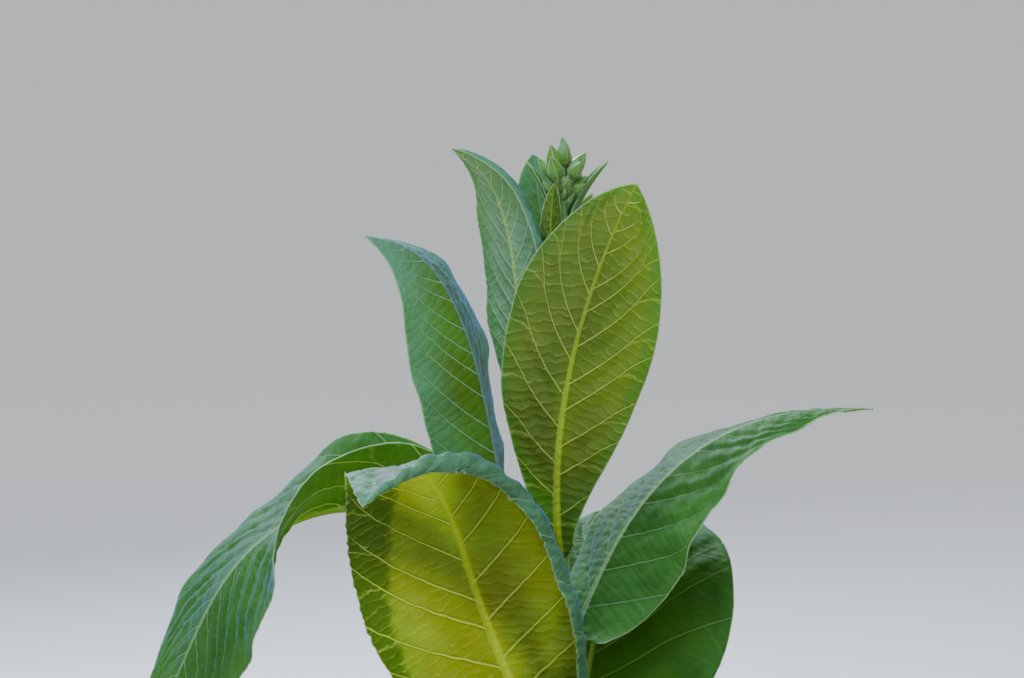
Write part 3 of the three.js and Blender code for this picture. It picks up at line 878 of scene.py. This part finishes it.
# %% Buds
HEAD = dict(length=18, width=10, drop=0.7, stalk_foot=4, tuck=2, stalk_radii=(1.5, 1.1), sag=0.1)
AXIS = dict(foot=STEM_TOP - 3, top=1226, radii=(3.9, 1.8), sides=20, rings=14)
BUDS = (
    (80, 2, 1232, 3, 1), (180, 4, 1228.5, 8, 0.97), (247, 7.6, 1225, 32, 0.95),
    (305, 8.6, 1227, 52, 0.8), (20, 4.5, 1227, 42, 0.95), (152, 6, 1226, 43, 0.85),
    (281, 9.2, 1221.5, 68, 0.56), (338, 6, 1219, 58, 0.78), (318, 9, 1217.5, 62, 0.6),
    (70, 7, 1226, 32, 0.9), (112, 9, 1222, 50, 0.8), (50, 9, 1219, 56, 0.72), (75, 10, 1215.5, 68, 0.6),
    (205, 6, 1217, 48, 0.55),
)
BUD_PROFILE = ((0, 0.02), (0.04, 0.3), (0.14, 0.41), (0.3, 0.5), (0.45, 0.5), (0.6, 0.42), (0.75, 0.29),
               (0.88, 0.15), (0.96, 0.07), (1, 0.015))
BUD_SIDES = 40
BUD_RINGS = 26
SEPALS = dict(count=5, sharpness=6, bulge=0.05, star=0.34, star_from=0.45, star_over=0.5)
# No bud or stalk points this way, so directions across it can be worked out from it.
ASIDE = (0.3, 0.9, 0.1)


def aimed(direction):
    direction = np.asarray(direction, float) / np.linalg.norm(direction)
    side = np.cross(direction, ASIDE)
    side /= np.linalg.norm(side)
    return np.stack([side, np.cross(direction, side), direction])


def bud_shape(length, width, turn):
    t = np.linspace(0, 1, BUD_RINGS)[:, None] ** 0.9
    angle = np.linspace(0, 2 * np.pi, BUD_SIDES, endpoint=False)[None, :]
    shares, radii = np.array(BUD_PROFILE).T
    keel = np.abs(np.cos(SEPALS["count"] / 2 * (angle + turn))) ** SEPALS["sharpness"]
    star = SEPALS["bulge"] * np.sin(np.pi * t)
    star = star + SEPALS["star"] * ease((t - SEPALS["star_from"]) / SEPALS["star_over"])
    radius = width * np.interp(t, shares, radii) * (1 - 0.5 * star + star * keel)
    lean = 0.05 * length * t**2
    height = length * t + 0 * angle
    points = np.stack([radius * np.cos(angle) + lean, radius * np.sin(angle), height], axis=-1)
    marks = np.stack([keel + 0 * t, t + 0 * angle, 0 * t * angle], axis=-1)
    return points, marks


def stalk_shape(start, end, radii, sides=12, rings=9):
    t = np.linspace(0, 1, rings)[:, None]
    middle = (start + end) / 2 - HEAD["sag"] * np.linalg.norm(end - start) * UP
    path = (1 - t) ** 2 * start + 2 * t * (1 - t) * middle + t**2 * end
    side, other = aimed(end - start)[:2]
    angle = np.linspace(0, 2 * np.pi, sides, endpoint=False)[None, :]
    radius = radii[0] + (radii[1] - radii[0]) * t
    circle = np.cos(angle)[..., None] * side + np.sin(angle)[..., None] * other
    return path[:, None, :] + radius[..., None] * circle


def gather(shapes):
    faces, first = [], 0
    for shape in shapes:
        rings, sides = shape.shape[:2]
        faces += [[first + corner for corner in face] for face in tube_faces(rings, sides)]
        first += rings * sides
    return np.concatenate([shape.reshape(-1, 3) for shape in shapes]), faces


bud_shapes, bud_marks, stalk_shapes = [], [], []
for azimuth, reach, height, tilt, size in BUDS:
    away, tilt = outward(azimuth), math.radians(tilt)
    base = reach * away + height * UP
    direction = math.sin(tilt) * away + math.cos(tilt) * UP
    shape, marks = bud_shape(HEAD["length"] * size, HEAD["width"] * size, math.radians(azimuth))
    bud_shapes.append(base + shape @ aimed(direction))
    bud_marks.append(marks)
    root = (base[2] - HEAD["drop"] * reach - HEAD["stalk_foot"]) * UP
    stalk_shapes.append(stalk_shape(root, base + HEAD["tuck"] * direction, HEAD["stalk_radii"]))
ends = AXIS["foot"] * UP, AXIS["top"] * UP
stalk_shapes.append(stalk_shape(*ends, AXIS["radii"], AXIS["sides"], AXIS["rings"]))
bud_mesh = mesh_from("buds", *gather(bud_shapes), {"bud": np.stack(bud_marks)})
stalk_mesh = mesh_from("bud_stalks", *gather(stalk_shapes))
print("buds:", len(bud_shapes), "triangles:", 2 * len(bud_mesh.polygons))

# %% [markdown]
# The calyx of a bud is living green tissue, cooler than the ripe leaves, matt and slightly see-through. It
# is warmer at its foot and paler along its keels, where the sepals meet. The marks that were stored on the
# mesh tell the finish how far round and how far up each point is, so these colours turn and lean with each
# bud. Its skin has a grain of 1.1 mm and clouds of colour 5.6 mm across.

# %% Bud material
GRAIN = 10 / 9
BUD_CLOUD = 50 / 9


def bud_material():
    material, add = new_material("green_calyx")
    mark = add("Attribute", {"attribute_name": "bud"})
    part = add("SeparateXYZ", inputs={0: mark.outputs["Vector"]})
    place = add("TexCoord").outputs["Object"]
    grain = add("TexNoise", inputs={"Vector": place, "Scale": 1 / (GRAIN * MM), "Detail": 4.0})
    cloud = add("TexNoise", inputs={"Vector": place, "Scale": 1 / (BUD_CLOUD * MM), "Detail": 2.0})
    base = add("Mix", COLOURS, {0: cloud, 6: linear("#36660c"), 7: linear("#628e18")})
    foot = add("MapRange", inputs={0: part.outputs["Y"], 1: 0.22, 2: 0.0, 3: 0.0, 4: 0.7})
    warm = add("Mix", COLOURS, {0: foot, 6: base.outputs[2], 7: linear("#b5a857")})
    keel = add("MapRange", SMOOTH, {0: part.outputs["X"], 1: 0.7, 2: 1.0, 3: 0.0, 4: 0.4})
    pale = add("Mix", COLOURS, {0: keel, 6: warm.outputs[2], 7: linear("#a9c47c")})
    bump = add("Bump", inputs={"Strength": 0.5, "Distance": 0.2 * MM, "Height": grain})
    shader = add("BsdfPrincipled", inputs={
        "Base Color": pale.outputs[2], "Roughness": 0.5, "Normal": bump, "Sheen Weight": 0.2,
        "Sheen Roughness": 0.4, "Subsurface Weight": 0.25, "Subsurface Scale": 2 * MM,
    })
    add("OutputMaterial", inputs={0: shader})
    return material


BUD_PIECE = add_piece("buds", bud_mesh, [bud_material()], ["flower_head"])
STALK_PIECE = add_piece("bud_stalks", stalk_mesh, [STEM_SKIN], [])
print("stalk triangles:", 2 * len(stalk_mesh.polygons))

# %% [markdown]
# Short sticky hairs cover the whole plant. On the leaves they show only as sheen. Where they are dense, on
# the buds and the stem, they show as a pale fuzz along every outline. A Geometry Nodes tree scatters points
# over a skin, stands a thin three-sided cone on each of them and turns it along the skin's normal, with a
# little lean. Its density, length and seed are inputs of the tree.

# %% Hairs
HAIR_INPUTS = dict(Skin="Object", Density="Float", Length="Float", Radius="Float", Lean="Float",
                   Lowest="Float", Seed="Int", Material="Material")


def hair_tree():
    tree = bpy.data.node_groups.new("hair_coat", "GeometryNodeTree")
    tree.interface.new_socket("Geometry", in_out="INPUT", socket_type="NodeSocketGeometry")
    for name, kind in HAIR_INPUTS.items():
        tree.interface.new_socket(name, in_out="INPUT", socket_type="NodeSocket" + kind)
    tree.interface.new_socket("Geometry", in_out="OUTPUT", socket_type="NodeSocketGeometry")
    add = partial(add_node, tree)
    group = add("NodeGroupInput").outputs
    skin = add("GeometryNodeObjectInfo", inputs={"Object": group["Skin"]})
    height = add("SeparateXYZ", inputs={0: add("GeometryNodeInputPosition")})
    above = add("Math", {"operation": "GREATER_THAN"}, {0: height.outputs["Z"], 1: group["Lowest"]})
    points = add("GeometryNodeDistributePointsOnFaces", inputs={
        "Mesh": skin.outputs["Geometry"], "Density": group["Density"], "Seed": group["Seed"],
        "Selection": above})
    cone = add("GeometryNodeMeshCone", {"fill_type": "NGON"}, {
        "Vertices": 3, "Radius Bottom": group["Radius"], "Depth": group["Length"]})
    low = add("Math", TIMES, {0: group["Lean"], 1: -1.0})
    lean = add("FunctionNodeRandomValue", {"data_type": "FLOAT_VECTOR"},
               {0: low, 1: group["Lean"], "Seed": group["Seed"]})
    way = add("VectorMath", {"operation": "ADD"}, {0: points.outputs["Normal"], 1: lean})
    turn = add("FunctionNodeAlignRotationToVector", {"axis": "Z"}, {"Vector": way})
    size = add("FunctionNodeRandomValue", {"data_type": "FLOAT"}, {2: 0.55, 3: 1.0, "Seed": group["Seed"]})
    hairs = add("GeometryNodeInstanceOnPoints", inputs={
        "Points": points.outputs["Points"], "Instance": cone.outputs["Mesh"], "Rotation": turn,
        "Scale": size.outputs[1]})
    real = add("GeometryNodeRealizeInstances", inputs={0: hairs})
    done = add("GeometryNodeSetMaterial", inputs={"Geometry": real, "Material": group["Material"]})
    add("NodeGroupOutput", inputs={0: done})
    return tree


HAIR_TREE = hair_tree()
HAIR_SOCKETS = {}
for item in HAIR_TREE.interface.items_tree:
    if item.in_out == "INPUT":
        HAIR_SOCKETS[item.name] = item.identifier
print("hair tree inputs:", list(HAIR_INPUTS))

# %% [markdown]
# A hair is clear and catches the light, so its finish is a pale glossy green that lets some light through.
# Its colour changes every 3.3 mm. Real hairs are thinner and stand closer. These are thick enough to show,
# and so there are fewer. None stands below 4 mm, where it could reach into the ground.

# %% Hair coats
HAIR_CLOUD = 10 / 3
HAIR_LEAN = 0.35
LOWEST_HAIR = 4
# The hairs of each square metre, their length and radius in millimetres, and the seed.
COATS = (
    ("bud_hairs", BUD_PIECE, 1000000, 1.1, 0.045, 3, "buds"),
    ("stalk_hairs", STALK_PIECE, 900000, 0.9, 0.05, 4, "buds"),
    ("stem_hairs", STEM_PIECE, 180000, 1.5, 0.07, 5, "stem"),
)


def hair_material():
    material, add = new_material("clear_sticky_hair")
    place = add("TexCoord").outputs["Object"]
    cloud = add("TexNoise", inputs={"Vector": place, "Scale": 1 / (HAIR_CLOUD * MM)})
    tone = add("Mix", COLOURS, {0: cloud, 6: linear("#9ab870"), 7: linear("#cfdcae")})
    shader = add("BsdfPrincipled", inputs={"Base Color": tone.outputs[2], "Roughness": 0.35})
    through = add("BsdfTranslucent", inputs={"Color": tone.outputs[2]})
    both = add("MixShader", inputs={0: 0.4, 1: shader, 2: through})
    add("OutputMaterial", inputs={0: both})
    return material


HAIR = hair_material()


def hair_coat(name, skin, density, length, radius, seed, slot):
    holder = new_object(name, bpy.data.meshes.new(name))
    coat = holder.modifiers.new("coat", "NODES")
    coat.node_group = HAIR_TREE
    values = {"Skin": skin, "Density": density, "Length": length * MM, "Radius": radius * MM,
              "Lean": HAIR_LEAN, "Lowest": LOWEST_HAIR * MM, "Seed": seed, "Material": HAIR}
    for key, value in values.items():
        coat[HAIR_SOCKETS[key]] = value
    evaluated = holder.evaluated_get(bpy.context.evaluated_depsgraph_get())
    mesh = bpy.data.meshes.new_from_object(evaluated)
    bpy.data.objects.remove(holder)
    mesh.name = name
    print(name, "hairs:", len(mesh.polygons) // 4)
    add_piece(name, mesh, [], [])


for coat in COATS:
    hair_coat(*coat)

# %% [markdown]
# The camera looks at the top of the plant from its front side, a little from above, so that the tips of the
# leaves, the rolled margin and the head of buds lie over each other as they do to someone who stands in the
# rows. A long lens from 1.5 m away keeps the leaves that point forward from looking too large.

# %% Camera
AIM = Vector((-0.031, 0, 1.125))
DISTANCE = 1.499
PITCH = math.radians(10)
camera = new_object("camera", bpy.data.cameras.new("camera"))
camera.data.lens = 85
camera.data.clip_end = 200
camera.location = AIM + Vector((0, -DISTANCE * math.cos(PITCH), DISTANCE * math.sin(PITCH)))
camera.rotation_euler = (math.pi / 2 - PITCH, 0, 0)
bpy.context.scene.camera = camera
print("camera height, m:", round(camera.location.z, 3))

# %% [markdown]
# The plant stands on a plain pale floor of matt paint under soft studio light. Most of the light comes from
# behind and above, because leaves show their colour when it shines through them: that gives the yellow green
# glow and the pale net of veins. A cool light from above gives the upper faces their blue sheen, and a weak
# one in front lifts the shadows. Each row of the table gives a light's place, power, size and colour.

# %% Floor and light
FLOOR_REACH = 90
LIGHTS = (
    ("back", (-0.8, 2.1, 2.5), 215, 1.6, "#dbe6ff"),
    ("sky", (-0.6, -1.3, 3.1), 125, 2.0, "#a2c0ff"),
    ("front", (-1.9, -2.4, 1.7), 10, 2.4, "#eef3ff"),
)
SURROUND = ("#eceff2", 0.8)
corners = [(x * FLOOR_REACH, y * FLOOR_REACH, 0) for x, y in ((-1, -1), (1, -1), (1, 1), (-1, 1))]
floor = new_object("floor", bpy.data.meshes.new("floor"))
floor.data.from_pydata(corners, [], [(0, 1, 2, 3)])
material, add = new_material("pale_floor")
shader = add("BsdfPrincipled", inputs={"Base Color": linear("#f3f3ef"), "Roughness": 0.9})
add("OutputMaterial", inputs={0: shader})
floor.data.materials.append(material)
floor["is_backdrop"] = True

for name, place, power, size, hex_colour in LIGHTS:
    light = new_object(name, bpy.data.lights.new(name, "AREA"))
    light.data.energy = power
    light.data.size = size
    light.data.color = linear(hex_colour)[:3]
    light.location = place
    light.rotation_euler = (AIM - Vector(place)).to_track_quat("-Z", "Y").to_euler()
world = bpy.data.worlds.new("world")
bpy.context.scene.world = world
world.use_nodes = True
world.node_tree.nodes["Background"].inputs[0].default_value = linear(SURROUND[0])
world.node_tree.nodes["Background"].inputs[1].default_value = SURROUND[1]
print("lights:", len(LIGHTS), "and an even pale surround")

# %% Finish
low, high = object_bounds()
growth = [round((b - a) / MM, 1) for a, b in zip(cad_high - cad_low, high - low)]
print("wider, deeper and taller than the solids by, mm:", growth)
